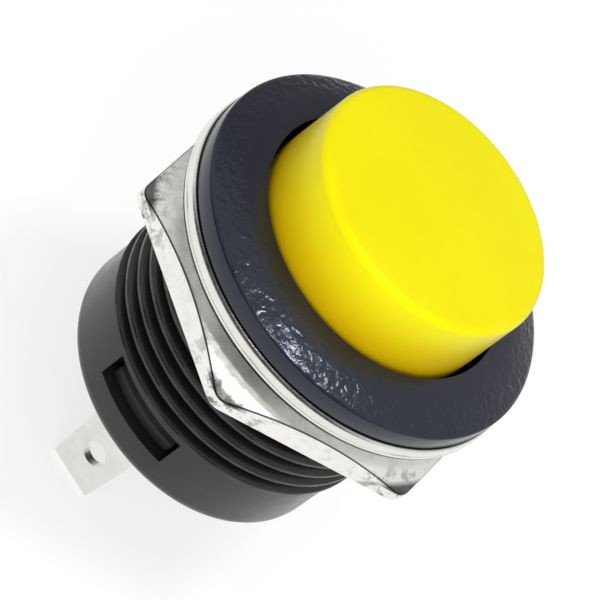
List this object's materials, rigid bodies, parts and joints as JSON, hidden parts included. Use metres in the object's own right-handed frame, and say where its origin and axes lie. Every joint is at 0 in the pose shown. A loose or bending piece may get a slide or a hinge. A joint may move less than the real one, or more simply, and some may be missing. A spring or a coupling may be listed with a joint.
{
  "type": "momentary push button switch",
  "caption": "Panel-mount momentary push button switch with a yellow cap, black flange and threaded barrel, flat washer, hexagon nut and solder lugs.",
  "frame": {"origin": "centre of the flange's underside, where the panel's face lies", "axes": "+Z along the button's axis, out of the panel towards the cap; the solder lugs stand at -Y and +Y"},
  "size_m": [0.021, 0.0216, 0.026],
  "materials": {
    "black_moulding": "fine moulded texture",
    "yellow_cap": "satin gloss",
    "natural_plastic": "satin",
    "spring_steel": "drawn wire",
    "bridge_brass": "satin",
    "contact_silver": "satin silver",
    "black_base": "satin",
    "tinned_lug": "tinned",
    "nickel_washer": "nickel plated",
    "nickel_nut": "nickel plated"
  },
  "bodies": {
    "housing": {"housing": "black_moulding", "terminal_base": "black_base", "terminal_left": "tinned_lug", "terminal_right": "tinned_lug", "fixed_contact_left": "contact_silver", "fixed_contact_right": "contact_silver", "return_spring": "spring_steel"},
    "button": {"button_cap": "yellow_cap", "plunger": "natural_plastic", "retaining_clip": "spring_steel", "contact_spring": "spring_steel"},
    "bridge": {"contact_bridge": "bridge_brass", "moving_contact_left": "contact_silver", "moving_contact_right": "contact_silver"},
    "washer": {"washer": "nickel_washer"},
    "nut": {"hex_nut": "nickel_nut"}
  },
  "joints": [
    {"name": "button_press", "type": "slide", "parent": "housing", "child": "button", "axis": [0, 0, -1], "range_m": [0, 0.003], "stiffness_N_per_m": 500, "springref_m": -0.0003, "deforming": ["return_spring"]},
    {"name": "bridge_slide", "type": "slide", "parent": "button", "child": "bridge", "axis": [0, 0, 1], "range_m": [0, 0.001], "deforming": ["contact_spring"]},
    {"name": "washer_travel", "type": "slide", "parent": "housing", "child": "washer", "axis": [0, 0, -1], "range_m": [0, 0.0059]},
    {"name": "nut_turn", "type": "hinge", "parent": "washer", "child": "nut", "pos_m": [0, 0, -0.0025], "axis": [0, 0, -1], "range_deg": [0, 2120]}
  ],
  "couplings": [
    {"joint": "bridge_slide", "follows": "button_press", "ratio": 0.33333},
    {"joint": "washer_travel", "follows": "nut_turn", "m_per_rad": 0.00015915}
  ]
}
